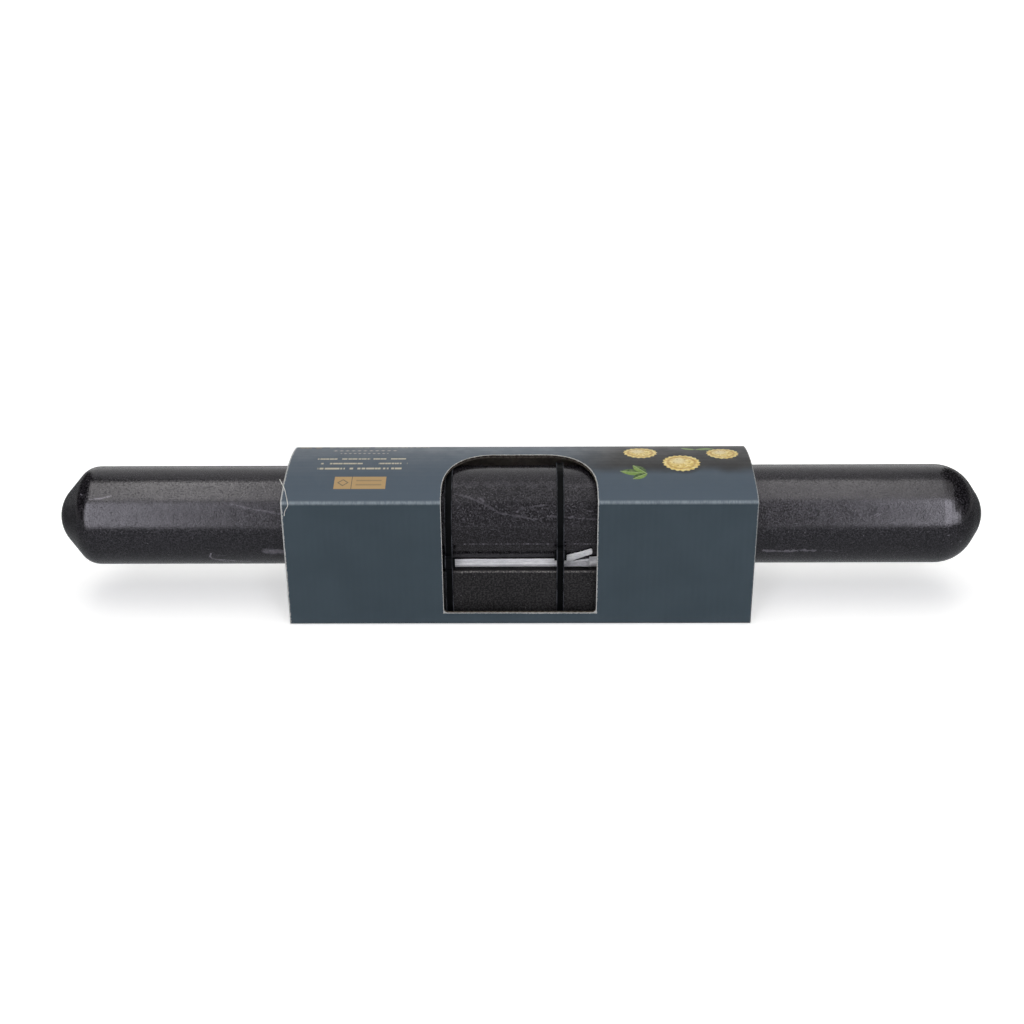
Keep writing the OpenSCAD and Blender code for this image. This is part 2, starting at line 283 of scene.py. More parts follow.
def pin_marble():
    g, base, grain, fine = marble(
        "pin_marble", srgb(3, 2, 4), srgb(40, 38, 42), srgb(132, 129, 134), 0.1, 0.2, 0.34, 0.345
    )
    up = g.math("SUBTRACT", g.z, AXIS_Z)
    front = g.math("MULTIPLY", g.y, -1.0)
    turn = g.math("MULTIPLY", g.math("ARCTAN2", up, front), PIN_R)
    where = g.point(g.x, turn)

    def unrolled(path):
        return [(x, math.radians(a) * PIN_R) for x, a in path]

    wander = g.math("SUBTRACT", g.noise(2.6, 3, 0.6), 0.5)
    broken = g.noise(1.7, 3, 0.7)
    marks = []
    for path, half_width, strength, wobble in PIN_MARKS:
        gap = g.near(where, unrolled(path))
        gap = g.math("ADD", gap, g.math("MULTIPLY", wander, 2 * wobble))
        marks.append(g.ramp(gap, half_width, half_width * 0.2, 0.0, MARK_STRENGTH * strength))
    pale = g.math("MULTIPLY", g.most(*marks), g.ramp(broken, 0.25, 0.6, 0.5, 1.0))
    scratch = g.ramp(g.near(where, unrolled(PIN_SCRATCH)), 0.26, 0.08)
    dashes = g.ramp(g.noise(2.4, 2, 0.7, where=g.point(g.x, 0.0)), 0.48, 0.56, 0.1, 0.55)
    pale = g.math("MAXIMUM", pale, g.math("MULTIPLY", scratch, dashes))
    g.colour(g.mix(pale, base, srgb(152, 148, 158)))
    height = g.math("ADD", g.math("MULTIPLY", grain, 0.7), g.math("MULTIPLY", fine, 0.3))
    height = g.math("ADD", height, g.math("MULTIPLY", g.noise(7, 3), 1.5))
    g.bump(height, 0.06)
    return g.material


def rest_marble():
    g, base, grain, fine = marble(
        "rest_marble", srgb(3, 3, 3), srgb(42, 41, 41), srgb(132, 130, 134), 0.36, 0.56, 0.1, 0.2
    )
    land = REST_HIGH.z
    section = g.point(0.0, g.math("ABSOLUTE", g.y), g.z)
    edge = g.vector("DISTANCE", section, (0, REST_HIGH.y - 0.4, land - 0.4))
    # Pale specks along the front top arris: chipped marble, and a painted highlight where the chamfer
    # catches the light.
    arris_reach = g.ramp(g.math("ADD", edge, g.math("MULTIPLY", g.noise(1.1, 3, 0.7), 1.6)), 1.5, 0.9)
    chipped_and_lit_arris = g.math("MULTIPLY", arris_reach, g.ramp(g.noise(0.8, 3, 0.8), 0.42, 0.66, 0.06, 0.7))
    # The flat land on top, under the foam and the pin, is painted near black as painted shade.
    base = g.mix(g.ramp(g.z, land - 0.25, land - 0.1, 0, 0.95), base, srgb(1, 1, 1))
    g.colour(g.mix(chipped_and_lit_arris, base, srgb(138, 135, 131)))
    height = g.math("ADD", g.math("MULTIPLY", grain, 0.7), g.math("MULTIPLY", fine, 0.3))
    g.bump(height, 0.05)
    return g.material


def nylon():
    g = Graph("black_nylon", 0.42, 0.035)
    scuffs = g.ramp(g.noise(1.6, 4, 0.7, stretch=(2, 1, 1)), 0.55, 0.8)
    colour = g.mix(g.math("MULTIPLY", scuffs, 0.3), srgb(2, 3, 4), srgb(22, 25, 28))
    # The raised edges along each strap get a painted highlight, a lighter grey broken up by noise.
    rail_highlights = []
    for low, high in TIE_BOXES:
        aside = g.math("ABSOLUTE", g.offset(g.x, (low.x + high.x) / 2))
        rail_highlights.append(g.within(aside, 0.46 * TIE_WIDTH, 0.05 * TIE_WIDTH, 0.08))
    glints = g.ramp(g.noise(5, 2, 0.6), 0.35, 0.6, 0.3, 1)
    g.colour(g.mix(g.all_of(g.most(*rail_highlights), glints), colour, srgb(70, 72, 78)))
    g.rough(g.ramp(g.noise(0.9, 3), 0.3, 0.7, 0.32, 0.52))
    g.bump(g.noise(0.3, 2), 0.006)
    return g.material


def foam_sheet():
    g = Graph("white_foam", 0.8, 0.25)
    g.shader.inputs["Subsurface Weight"].default_value = 0.25
    g.shader.inputs["Subsurface Radius"].default_value = (0.0012, 0.0012, 0.0012)
    cells = g.add("TexVoronoi", g.place)
    cells.inputs["Scale"].default_value = 2.6
    cell = cells.outputs["Distance"]
    tone = g.math("ADD", g.math("MULTIPLY", g.noise(5, 3), 0.6), g.math("MULTIPLY", cell, 0.5))
    depth = g.vector("LENGTH", g.point(0.0, g.y, g.offset(g.z, AXIS_Z)))
    middle = g.within(depth, FOAM_INNER + 1.9, 0.9, 0.5)
    streaks = g.noise(0.7, 3, 0.7, stretch=(0.15, 1, 1))
    pale = g.mix(g.ramp(tone, 0.3, 0.9), srgb(224, 224, 227), srgb(247, 247, 249))
    shade = g.math("MULTIPLY", g.ramp(streaks, 0.35, 0.65, 0.2, 1), g.ramp(middle, 0, 1, 0.2, 0.65))
    g.colour(g.mix(shade, pale, srgb(182, 183, 187)))
    g.bump(cell, 0.05, 0.7)
    return g.material


def raw_paper(name, colour, dark, core=None):
    """Unprinted paper with fibres that run across the flutes. Given a colour for the core, it is the
    board's
    cut edge: pale where the printed paper's thickness shows, and darker behind it, in the crushed
    flutes, where painted shade also stands for the shadow in their cells."""
    g = Graph(name, 0.85, 0.2)
    fibres = g.noise(0.35, 3, 0.7, stretch=(0.25, 1, 1))
    blotches = g.noise(3, 3, 0.6)
    tone = g.math("ADD", g.math("MULTIPLY", fibres, 0.6), g.math("MULTIPLY", blotches, 0.4))
    paper = g.mix(g.ramp(tone, 0.35, 0.65), dark, colour)
    if core:
        panel = g.offset(g.math("MULTIPLY", g.math("ABSOLUTE", g.y), -1.0), -HALF_DEPTH)
        bow = g.vector("LENGTH", g.point(0.0, g.y, g.offset(g.z, SLEEVE_HIGH.z - BOW_R)))
        behind = g.math("MINIMUM", panel, g.math("SUBTRACT", BOW_R, bow))
        reach = g.ramp(g.noise(1.4, 2, 0.6), 0.3, 0.7, 0.22, 0.5)
        # Behind the printed paper the cut edge turns dark: partly the crushed flutes' brown, and partly
        # painted shade for the shadow in their cells.
        paper = g.mix(g.ramp(g.math("SUBTRACT", behind, reach), -0.1, 0.15), paper, core)
    g.colour(paper)
    g.bump(fibres, 0.03)
    return g.material


# Inks of the print: one slate blue, painted darker on the front and lighter on the top as shade and light
# fall on them
SHADED_FRONT_INK = srgb(48, 62, 71), srgb(53, 67, 76)
LIT_TOP_INK = srgb(67, 80, 93)
GOLD, SILVER, PALE = srgb(178, 148, 102), srgb(168, 160, 150), srgb(198, 190, 166)

# Rows of ornament on the left of the top: from and to along X, place along Y, half height and ink,
# then the pitch of a chain of lozenges, or 0 for a broken rule
PRINT_ROWS = (
    (-112.0, -101.0, 27.6, 0.8, GOLD, 0),
    (-97.0, -46.0, 27.6, 0.55, PALE, 0),
    (-94.6, -61.6, 20.4, 1.25, SILVER, 3.0),
    (-90.0, -66.0, 15.2, 1.0, SILVER, 2.4),
    (-100.5, -56.5, 7.0, 0.75, PALE, 0),
    (-101.5, -55.5, 1.3, 0.8, PALE, 0),
    (-99.5, -58.0, -4.2, 0.85, PALE, 0),
)
# The plain gold panel below them: from and to along X and along Y, and its dividing rule
PANEL = (-89.9, -64.8, -22.0, -12.1, -81.4)
PANEL_LINES = -15.4, -18.8

# Round biscuits on the right of the top: their place, radius and number of scallops
BISCUITS = ((60.5, 15.5, 8.2, 18), (80.0, 1.5, 9.0, 20), (101.5, 14.0, 7.8, 18))
# Leaves: root, length, half width and direction in degrees
LEAVES = (
    (62.0, -9.5, 13.0, 2.9, 171), (62.0, -9.5, 10.0, 2.4, 128), (62.5, -9.5, 9.0, 2.2, 215),
    (88.5, 20.5, 10.0, 2.3, 12), (88.5, 20.5, 8.0, 1.9, 150),
)


def ornament(g, ink):
    """Rows of lozenges and broken rules, and a plain gold panel."""
    for start, end, y, half, colour, pitch in PRINT_ROWS:
        middle, reach = (start + end) / 2, (end - start) / 2
        row = g.within(g.x, middle, reach, 0.2)
        if pitch:
            swing = g.math("PINGPONG", g.offset(g.x, middle), pitch / 2)
            tall = g.math("MULTIPLY", g.math("SUBTRACT", pitch / 2 - 0.25, swing), 2 * half / pitch)
            above = g.math("SUBTRACT", g.math("ABSOLUTE", g.offset(g.y, y)), tall)
            row = g.all_of(row, g.ramp(above, 0.15, -0.15))
        else:
            where = g.point(g.x, y * 7)
            dashes = g.ramp(g.noise(1.0, 1, 0.5, where=where), 0.38, 0.46, 0.2, 1)
            words = g.ramp(g.noise(3.6, 0, 0.5, where=where), 0.34, 0.38)
            row = g.all_of(row, g.within(g.y, y, half, 0.25), dashes, words)
        ink = g.mix(g.math("MULTIPLY", row, 0.9), ink, colour)
    left, right, near, far, rule = PANEL
    panel = g.all_of(
        g.within(g.x, (left + right) / 2, (right - left) / 2),
        g.within(g.y, (near + far) / 2, (far - near) / 2),
    )
    grey = srgb(92, 88, 78)
    gold = g.mix(g.within(g.x, rule, 0.18), GOLD, grey)
    middle = g.point((left + rule) / 2, (near + far) / 2)
    steps = g.vector("ABSOLUTE", g.vector("SUBTRACT", g.point(g.x, g.y), middle))
    lozenge = g.math("ABSOLUTE", g.offset(g.vector("DOT_PRODUCT", steps, (1, 1, 0)), 2.4))
    gold = g.mix(g.math("MULTIPLY", g.ramp(lozenge, 0.55, 0.3), 0.8), gold, grey)
    for y in PANEL_LINES:
        line = g.all_of(g.within(g.x, (rule + right) / 2, 6.2, 0.3), g.within(g.y, y, 0.5, 0.3))
        gold = g.mix(g.math("MULTIPLY", line, 0.5), gold, grey)
    return g.mix(panel, ink, gold)


def biscuit(g, ink, x, y, radius, scallops):
    """A round scalloped biscuit with a paler middle, a toasted ring and a ring of pricked holes."""
    aside = g.vector("SUBTRACT", g.point(g.x, g.y), (x, y, 0))
    away = g.vector("LENGTH", aside)
    split = g.add("SeparateXYZ", aside)
    angle = g.math("ARCTAN2", split.outputs[1], split.outputs[0])
    scallop = g.math("MULTIPLY", g.math("COSINE", g.math("MULTIPLY", angle, scallops)), 0.04 * radius)
    outline = g.math("SUBTRACT", away, g.math("ADD", scallop, radius))
    below = g.vector("DISTANCE", g.point(g.x, g.y), (x + 0.8, y - 1.6, 0))
    ink = g.mix(g.ramp(below, radius * 1.22, radius * 0.85, 0, 0.7), ink, srgb(22, 24, 26))
    crumb = g.noise(1.3, 3, 0.6)
    dough = g.mix(g.ramp(crumb, 0.35, 0.65), srgb(216, 184, 96), srgb(244, 226, 158))
    ring = g.within(away, 0.74 * radius, 0.06 * radius, 0.08 * radius)
    dough = g.mix(g.math("MULTIPLY", ring, 0.65), dough, srgb(176, 124, 44))
    glow = g.vector("DISTANCE", aside, (-0.15 * radius, 0.2 * radius, 0))
    dough = g.mix(g.ramp(glow, 0.6 * radius, 0.1 * radius, 0, 0.6), dough, srgb(242, 230, 196))
    spokes = g.ramp(g.math("COSINE", g.math("MULTIPLY", angle, 6)), 0.8, 0.95)
    holes = g.math("MULTIPLY", spokes, g.within(away, 0.42 * radius, 0.35, 0.2))
    dough = g.mix(g.math("MULTIPLY", holes, 0.7), dough, srgb(142, 98, 42))
    return g.mix(g.ramp(outline, 0.25, -0.25), ink, dough)


def leaf(g, ink, x, y, length, half_width, heading):
    """A pointed leaf with a pale rib and one half in shade."""
    aside = g.vector("SUBTRACT", g.point(g.x, g.y), (x, y, 0))
    turn = math.radians(heading)
    along = g.vector("DOT_PRODUCT", aside, (math.cos(turn), math.sin(turn), 0))
    across = g.vector("DOT_PRODUCT", aside, (-math.sin(turn), math.cos(turn), 0))
    share = g.math("DIVIDE", along, length)
    bulge = g.math("MULTIPLY", g.math("MULTIPLY", share, g.math("SUBTRACT", 1.0, share)), 4 * half_width)
    outline = g.math("SUBTRACT", g.math("ABSOLUTE", across), bulge)
    green = g.mix(g.ramp(across, -0.4, 0.4), srgb(44, 72, 30), srgb(112, 142, 62))
    spots = g.math("MULTIPLY", g.ramp(g.noise(1.5, 3, 0.6), 0.4, 0.7), 0.4)
    green = g.mix(spots, green, srgb(160, 180, 104))
    green = g.mix(g.within(across, 0, 0.12, 0.12), green, srgb(176, 190, 140))
    return g.mix(g.ramp(outline, 0.2, -0.2), ink, green)


def window_edge(g):
    """Distance outside the window's cut edge, on the top and on the front, in millimetres."""
    x = g.math("MAXIMUM", g.offset(g.math("ABSOLUTE", g.x), WINDOW_HALF - CORNER_WIDTH), 0.0)
    y = g.math("MAXIMUM", g.offset(g.y, WINDOW_REACH - CORNER_DEPTH), 0.0)
    across, back = g.math("DIVIDE", x, CORNER_WIDTH), g.math("DIVIDE", y, CORNER_DEPTH)
    turn = g.vector("LENGTH", g.point(across, back))
    across, back = g.math("DIVIDE", x, CORNER_WIDTH ** 2), g.math("DIVIDE", y, CORNER_DEPTH ** 2)
    steep = g.vector("LENGTH", g.point(across, back))
    slope = g.math("DIVIDE", steep, g.math("MAXIMUM", turn, 0.01))
    beside = g.math("DIVIDE", g.offset(turn, 1.0), g.math("MAXIMUM", slope, 0.001))
    return g.math("MAXIMUM", beside, g.math("SUBTRACT", WINDOW_SILL, g.z))


def slate_print():
    """Slate blue ink under a satin varnish, painted darker on the front than on the top, with generic
    ornament, faint flutes bumped and painted as light and shade, a painted sheen, rubbed edges and a
    painted highlight on the crease.
    """
    g = Graph("slate_print", 0.42, 0.28)
    # The flutes show through the liner as a faint washboard: a bump, and in the ink as painted light and
    # shade.
    wave = g.math("COSINE", g.math("MULTIPLY", g.x, 2 * math.pi / FLUTE_PITCH))
    soft = g.noise(24, 3, 0.5)
    wave = g.math("MULTIPLY", wave, g.ramp(g.noise(9, 2, 0.6), 0.35, 0.65, 0.2, 1))
    tone = g.math("ADD", g.math("MULTIPLY", wave, 0.05), soft)
    front = g.mix(g.ramp(tone, 0.25, 0.75), *SHADED_FRONT_INK)

    # The top's ground darkens softly towards the rear right, behind the biscuits
    drift = g.math("MULTIPLY", g.offset(g.noise(30, 3, 0.5), 0.5), 16)
    rear = g.ramp(g.math("ADD", g.y, drift), -12, 0)
    dark = g.all_of(rear, g.ramp(g.math("ADD", g.x, drift), 12, 52), g.ramp(g.y, 22, 32, 1, 0.7))
    top = g.mix(dark, LIT_TOP_INK, srgb(13, 12, 14))
    # A pale line across the rear right of the top, a painted sheen.
    painted_sheen = g.within(g.math("ADD", g.y, g.math("MULTIPLY", g.x, 0.3)), 48.5, 0.6, 1.8)
    painted_sheen = g.all_of(painted_sheen, g.ramp(g.x, 52, 70), g.ramp(g.x, 114, 96, 0, 0.3))
    top = g.mix(painted_sheen, top, srgb(118, 118, 120))
    for spot in LEAVES:
        top = leaf(g, top, *spot)
    for spot in BISCUITS:
        top = biscuit(g, top, *spot)
    top = ornament(g, top)
    # Front ink below the crease and top ink above it; the difference between them is painted shade and
    # light.
    ink = g.mix(g.ramp(g.offset(g.z, CREASE_Z), -1.2, -0.6), front, top)

    # Pale fibres where the board is cut, and a pale line along the crease, partly rubbed print and partly a
    # painted highlight
    corner = g.point(0.0, g.math("ABSOLUTE", g.y), g.z)
    crease = g.vector("DISTANCE", corner, (0, HALF_DEPTH - 0.7, CREASE_Z - 0.6))
    nicks = g.ramp(g.noise(1.1, 3, 0.7, stretch=(1, 0.3, 0.3)), 0.3, 0.7, 0.35, 1)
    worn_and_lit_crease = g.math("MULTIPLY", g.ramp(crease, 1.35, 0.35, 0, 0.52), nicks)
    frayed = g.noise(0.9, 3, 0.7)
    reach = g.math("MULTIPLY", g.ramp(g.x, -5, 5, 0.32, 0.5), g.ramp(frayed, 0.3, 0.7, 0.5, 1.2))
    cut = g.ramp(g.math("SUBTRACT", window_edge(g), reach), 0.15, -0.15)
    left = g.math("SUBTRACT", g.math("ADD", g.x, HALF_LENGTH), g.ramp(frayed, 0.3, 0.7, 0.35, 0.85))
    right = g.math("SUBTRACT", g.math("SUBTRACT", HALF_LENGTH, g.x), g.ramp(frayed, 0.3, 0.7, 0.15, 0.5))
    ends = g.most(g.ramp(left, 0.15, -0.15), g.ramp(right, 0.15, -0.15, 0, 0.6))
    # The crease line is a lighter slate: a painted highlight over rubbed print, broken at the flutes.
    ink = g.mix(worn_and_lit_crease, ink, srgb(148, 160, 164))
    ink = g.mix(g.math("MULTIPLY", g.most(cut, ends), 0.85), ink, srgb(190, 190, 188))
    g.colour(ink)
    g.rough(g.ramp(g.noise(8, 4, 0.6), 0.3, 0.7, 0.38, 0.47))
    height = g.math("ADD", g.math("MULTIPLY", wave, 0.5), g.math("MULTIPLY", g.noise(0.5, 3, 0.6), 0.12))
    g.bump(height, 0.02)
    return g.material


# A face that looks out of its panel by less than this is a cut edge
EDGE_LOOK = 0.35


def outward(face):
    """How far a face of the sleeve looks out of its panel: 1 outside, -1 inside, 0 on a cut edge."""
    if face.center.z > (CREASE_Z - 0.7) * MM:
        return face.normal.z
    if abs(face.center.y) > (HALF_DEPTH - 1.8) * MM:
        return face.normal.y * math.copysign(1, face.center.y)
    return -face.normal.z


def dress_nodes():
    """Gives each CAD node that stays its material, and the outer liner its printed face."""
    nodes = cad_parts
    cut_paper = raw_paper("cut_paper", srgb(218, 215, 208), srgb(176, 171, 164), srgb(74, 67, 60))
    liner = raw_paper("kraft_paper", srgb(120, 112, 102), srgb(96, 90, 82))
    core = raw_paper("fluting_paper", srgb(96, 86, 76), srgb(66, 58, 50))
    tie = nylon()
    whole = {"rolling_pin": pin_marble(), "rest": rest_marble(), "left_tie": tie, "right_tie": tie}
    for name, material in whole.items():
        nodes[name].data.materials.clear()
        nodes[name].data.materials.append(material)
    for name, sheet in (("outer_liner", slate_print()), ("inner_liner", liner), ("fluting", core)):
        mesh = nodes["sleeve_" + name].data
        mesh.materials.clear()
        for material in (sheet, cut_paper, liner):
            mesh.materials.append(material)
        for face in mesh.polygons:
            out = outward(face)
            if abs(out) < EDGE_LOOK:
                face.material_index = 1
            elif name == "outer_liner" and out < 0:
                face.material_index = 2
            else:
                face.material_index = 0


def link(name, mesh, material):
    piece = bpy.data.objects.new(name, mesh)
    bpy.context.scene.collection.objects.link(piece)
    mesh.materials.append(material)
    return piece


def sweep(name, sections, material):
    """A closed tube through the sections, each a ring of the same number of points in millimetres."""
    count = len(sections[0])
    points = [Vector(p) * MM for ring in sections for p in ring]
    faces = []
    for i in range(len(sections) - 1):
        for j in range(count):
            k = (j + 1) % count
            faces.append((i * count + j, i * count + k, (i + 1) * count + k, (i + 1) * count + j))
    faces.append(tuple(reversed(range(count))))
    faces.append(tuple(range((len(sections) - 1) * count, len(sections) * count)))
    mesh = bpy.data.meshes.new(name)
    mesh.from_pydata(points, [], faces)
    shape = bmesh.new()
    shape.from_mesh(mesh)
    bmesh.ops.recalc_face_normals(shape, faces=shape.faces)
    shape.to_mesh(mesh)
    shape.free()
    return link(name, mesh, material)


def smooth(value, start, end):
    """0 at start and 1 at end, with a smooth rise between them."""
    share = min(max((value - start) / (end - start), 0), 1)
    return share * share * (3 - 2 * share)


def along(path, x):
    """The height of a line through the path's points, at x."""
    for (x0, y0), (x1, y1) in zip(path[:-1], path[1:]):
        if x <= x1:
            return y0 + (y1 - y0) * min(max((x - x0) / (x1 - x0), 0), 1)
    return path[-1][1]


# The foam right of the right tie, as places along X and degrees below the pin's centre line: the strip's
# own edge, and the slice that peeled off it
TORN_EDGE = (
    (21.8, 34.2), (22.3, 45), (24.5, 43.2), (27.3, 42.2), (31.5, 43.2), (34.2, 42.2), (34.4, 29.4),
    (38.4, 28.6), (44, 30), (60, 33), (75, 33.6)
)
SLICE_TOP = ((22, 27), (26.7, 22.6), (30.3, 19.4), (33.3, 16.4), (35, 14.9), (35.6, 15.6))
SLICE_FOOT = ((22, 40.9), (24.5, 36.5), (28.5, 28.8), (33, 23.2), (35.2, 21), (35.6, 19.4))
# A thin shred between the two
SHRED_TOP = ((25, 37), (29, 33.4), (32, 31.2), (35.4, 30.2))
SHRED_FOOT = ((25, 38.2), (29, 37.4), (32, 36.2), (35.4, 35.2))
# How finely the foam is swept along and round the pin
STRIP_STEPS, STRIP_TURNS = 240, 40
SLICE_STEPS, SLICE_TURNS = 40, 6


def foam_edge(x):
    """The strip's front edge, in degrees below the pin's centre line: wavy, as a knife cut leaves it."""
    wave = noise.noise(Vector((x * 0.11, 3.1, 0))) * 0.5 + noise.noise(Vector((x * 0.45, 9.7, 0))) * 0.18
    if x > TORN_EDGE[0][0]:
        return along(TORN_EDGE, x) + wave
    return FOAM_EDGE + 0.7 - 1.3 * smooth(x, -75, 22) + wave


def foam_section(x, front, rear, inner, outer, turns, round_off=0.22):
    """A ring of the foam at x, between two angles in degrees below the centre line in front and behind."""
    inside, outside = [], []
    for j in range(turns + 1):
        angle = math.radians(180 + front + (180 - front - rear) * j / turns)
        trim = round_off if j in (0, turns) else 0
        for ring, r in ((inside, inner + trim), (outside, outer - trim)):
            ring.append((x, r * math.cos(angle), AXIS_Z + r * math.sin(angle)))
    return outside + inside[::-1]


def foam():
    """The foam strip under the pin, and the slice that has peeled off it beside the right tie."""
    length = FOAM_HIGH.x - FOAM_LOW.x
    places = [FOAM_LOW.x + length * i / STRIP_STEPS for i in range(STRIP_STEPS + 1)]
    places = sorted(places + [x for x, _ in TORN_EDGE if x < FOAM_HIGH.x])
    inner, outer = FOAM_INNER + 0.02, FOAM_OUTER - 0.02
    strip_rings = [
        foam_section(x, foam_edge(x), FOAM_EDGE + 0.9, inner, outer, STRIP_TURNS) for x in places
    ]
    material = foam_sheet()
    strip = sweep("foam_strip", strip_rings, material)
    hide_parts("foam_liner")
    pieces = [strip]
    for name, top, foot, inner, outer in (
        ("foam_slice", SLICE_TOP, SLICE_FOOT, FOAM_INNER + 0.03, SLICE_OUTER),
        ("foam_shred", SHRED_TOP, SHRED_FOOT, FOAM_INNER + 0.9, FOAM_INNER + 1.5),
    ):
        rings = []
        for i in range(SLICE_STEPS + 1):
            x = top[0][0] + (top[-1][0] - top[0][0]) * i / SLICE_STEPS
            ragged = 0.35 * noise.noise(Vector((x * 0.9, 5.3, inner)))
            front, rear = along(top, x) + ragged, 180 - along(foot, x) - ragged
            rings.append(foam_section(x, front, rear, inner, outer, SLICE_TURNS, 0.15))
        pieces.append(sweep(name, rings, material))
    for piece in pieces:
        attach(piece, "cradle")


# A strand of paper frayed off the sleeve's left edge: X and Y on the top, then X and Z on the front
STRAND_TOP = (
    (-116.6, -14.8), (-115.4, -17.6), (-114.2, -20.4), (-112.9, -23.6), (-112.2, -26.6), (-111.4, -29.6)
)
STRAND_FRONT = ((-110.9, 68.6), (-110.7, 66.9), (-112.0, 65.2), (-112.8, 63.6), (-112.9, 61.6))
STRAND_R = 0.26


def top_height(y):
    """Height of the sleeve's bowed top at y."""
    return SLEEVE_HIGH.z - BOW_R + math.sqrt(BOW_R ** 2 - y ** 2)


def frayed_strand():
    """The curled strand, lying on the print."""
    gap = STRAND_R + 0.05
    points = [(x, y, top_height(y) + gap) for x, y in STRAND_TOP]
    points += [(x, -HALF_DEPTH - gap, z) for x, z in STRAND_FRONT]
    curve = bpy.data.curves.new("strand_path", "CURVE")
    curve.dimensions = "3D"
    curve.bevel_depth = STRAND_R * MM
    curve.bevel_resolution = 2
    curve.use_fill_caps = True
    spline = curve.splines.new("NURBS")
    spline.points.add(len(points) - 1)
    for point, place in zip(spline.points, points):
        point.co = (*(Vector(place) * MM), 1)
        point.radius = 0.75 + 0.5 * noise.noise(Vector((place[0], place[2], 1.7)))
    spline.use_endpoint_u = True
    spline.order_u = 4
    spline.resolution_u = 6
    holder = bpy.data.objects.new("strand_path", curve)
    mesh = bpy.data.meshes.new_from_object(holder)
    bpy.data.objects.remove(holder)
    paper = raw_paper("frayed_paper", srgb(238, 237, 232), srgb(206, 204, 198))
    strand = link("frayed_strand", mesh, paper)
    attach(strand, "sleeve")


def camera():
    yaw, pitch, roll = (math.radians(a) for a in (YAW, PITCH, ROLL))
    forward = Vector((math.sin(yaw) * math.cos(pitch), math.cos(yaw) * math.cos(pitch), -math.sin(pitch)))
    level = Vector((math.cos(yaw), -math.sin(yaw), 0))
    upright = level.cross(forward)
    right = math.cos(roll) * level + math.sin(roll) * upright
    up = math.cos(roll) * upright - math.sin(roll) * level
    data = bpy.data.cameras.new("camera")
    data.sensor_width = 36
    data.lens = LENS
    data.clip_start, data.clip_end = 0.01, 20
    eye = bpy.data.objects.new("camera", data)
    eye.matrix_world = Matrix((right, up, -forward)).transposed().to_4x4()
    eye.location = (AIM - DISTANCE * forward) * MM
    bpy.context.scene.collection.objects.link(eye)
    bpy.context.scene.camera = eye


def rays(tree, *names):
    """1 for the rays of the kinds named."""
    paths = wire(tree, "LightPath")
    total = paths.outputs[names[0]]
    for name in names[1:]:
        total = wire(tree, "Math", total, paths.outputs[name], operation="MAXIMUM").outputs[0]
    return total


def lamp(name, place, out, width, height, radiance, tint, diffuse=True, gloss=True):
    """A rectangular soft lamp with its middle at place, in millimetres, whose back looks along out."""
    data = bpy.data.lights.new(name, "AREA")
    data.shape = "RECTANGLE"
    data.size = width * MM
    data.size_y = height * MM
    data.energy = radiance * math.pi * data.size * data.size_y
    data.color = tint
    light = bpy.data.objects.new(name, data)
    light.location = place * MM
    light.rotation_mode = "QUATERNION"
    light.rotation_quaternion = out.to_track_quat("Z", "Y")
    light.visible_camera = False
    light.visible_diffuse = diffuse
    light.visible_glossy = gloss
    bpy.context.scene.collection.objects.link(light)


def softbox(name, elevation, span, near, far, radiance, tint, diffuse=True, gloss=True):
    """A lamp seen from the pin at an elevation and over a span in degrees, and from near to far along X."""
    angle = math.radians(elevation)
    out = Vector((0, -math.cos(angle), math.sin(angle)))
    place = Vector(((near + far) / 2, 0, AXIS_Z)) + LAMP_DISTANCE * out
    height = 2 * LAMP_DISTANCE * math.tan(math.radians(span / 2))
    lamp(name, place, out, abs(far - near), height, radiance, tint, diffuse, gloss)


# The lamps of each side: from and to along X in millimetres, and radiance. They fade towards the
# middle of the pin, and the last of each row is a reflector, which only gloss sees
FRONT_LAMPS = {
    -1: ((700, 780, 1.0), (780, 880, 4.0), (880, 1000, 5.6), (1000, 1300, 6.3), (1300, 2500, 6.6)),
    1: ((760, 900, 0.7), (900, 1000, 3.5), (1000, 1150, 7.4), (1150, 1260, 9.8), (1260, 1900, 8.8)),
}
# The elevation of their middle, and the span, which the right row needs to meet the top lamps
FRONT_SPAN = {-1: (26.5, 60), 1: (28.3, 63.6)}
TOP_LAMPS = {
    -1: (
        (420, 560, 0.8), (560, 660, 2.0), (660, 780, 6.8),
        (780, 900, 7.8), (900, 1010, 4.4), (1010, 1460, 3.8),
    ),
    1: ((420, 660, 2.7), (660, 780, 5.3), (780, 900, 4.0), (900, 1080, 2.1), (1080, 2600, 1.3)),
}
TOP_ELEVATION, TOP_SPAN = 86, 50
# A lamp over the middle, which gloss doesn't see: its half width, and its radiance
TOP_FILL_HALF, TOP_FILL = 420, 1.7
# Reflectors beyond the right end: elevation, span, from and to along X, and radiance
RIGHT_WINGS = {"right_wing": (28.3, 63.6, 1900, 2700, 7.0), "right_low_wing": (13, 34, 2700, 4800, 7.0)}
FRONT_TINT, TOP_TINT = (0.955, 0.95, 1.0), (1.0, 0.985, 0.935)
LAMP_DISTANCE = 3000

# Screens beyond the ends, in metres: their X, and their front and rear
SCREENS = {-1: (-1.95, -1.5, 3.4), 1: (2.7, -1.0, 6.5)}
SCREEN_TOP = 7.0
# The screen in front of the sleeve: its half width, then the Y and Z of its foot and of its top
FRONT_SCREEN = 0.64, (-2.75, 0.01), (-1.9, 2.8)
# The cards over the floor: their height, and where the middle one ends and the side ones start and end
CARD_Z, CARD_SPLIT, CARD_FAR = 0.003, 0.118, 1.6
WHITE = (1, 1, 1, 1)


def studio_material(name):
    material = bpy.data.materials.new(name)
    material.use_nodes = True
    material.node_tree.nodes.clear()
    return material


